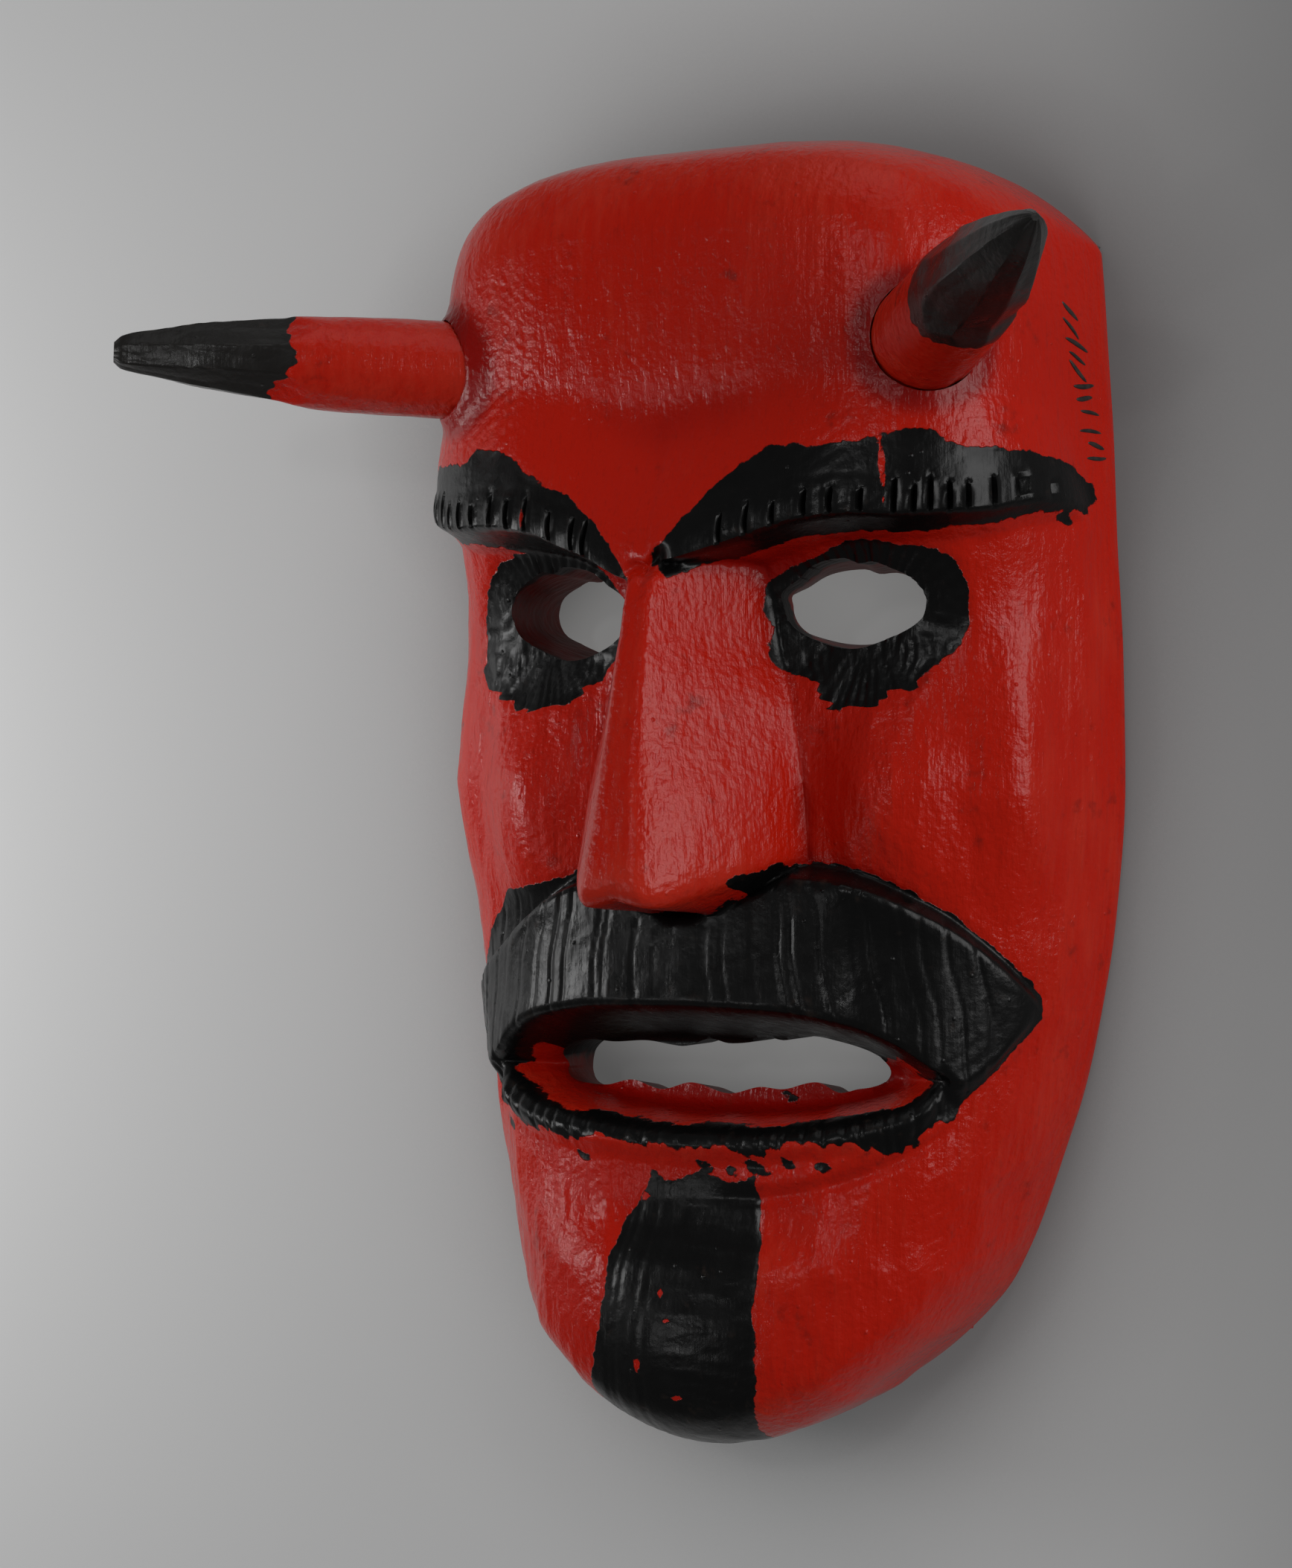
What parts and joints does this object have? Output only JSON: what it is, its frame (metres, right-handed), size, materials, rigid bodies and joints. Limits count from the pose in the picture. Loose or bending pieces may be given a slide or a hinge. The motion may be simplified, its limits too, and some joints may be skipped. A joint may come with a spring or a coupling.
{
  "type": "carved devil mask",
  "caption": "Carved wooden devil mask: a long face with heavy brows, ridged nose, slab moustache, open mouth slot and whittled peg horns, hollow at the back.",
  "frame": {"origin": "under the middle of the whole object, on the surface that the mask lies on", "axes": "+X across the face to the viewer's right, +Y from chin to crown, +Z out of the face"},
  "size_m": [0.1996, 0.248, 0.0949],
  "materials": {
    "face_paint": "glossy red and black oil paint brushed over knife-carved wood, bare wood in the hollow",
    "horn_paint": "glossy red oil paint on whittled wood, black from the middle to the tip"
  },
  "bodies": {
    "root": {"mask_face": "face_paint", "horn_left": "horn_paint", "horn_right": "horn_paint"}
  },
  "joints": []
}
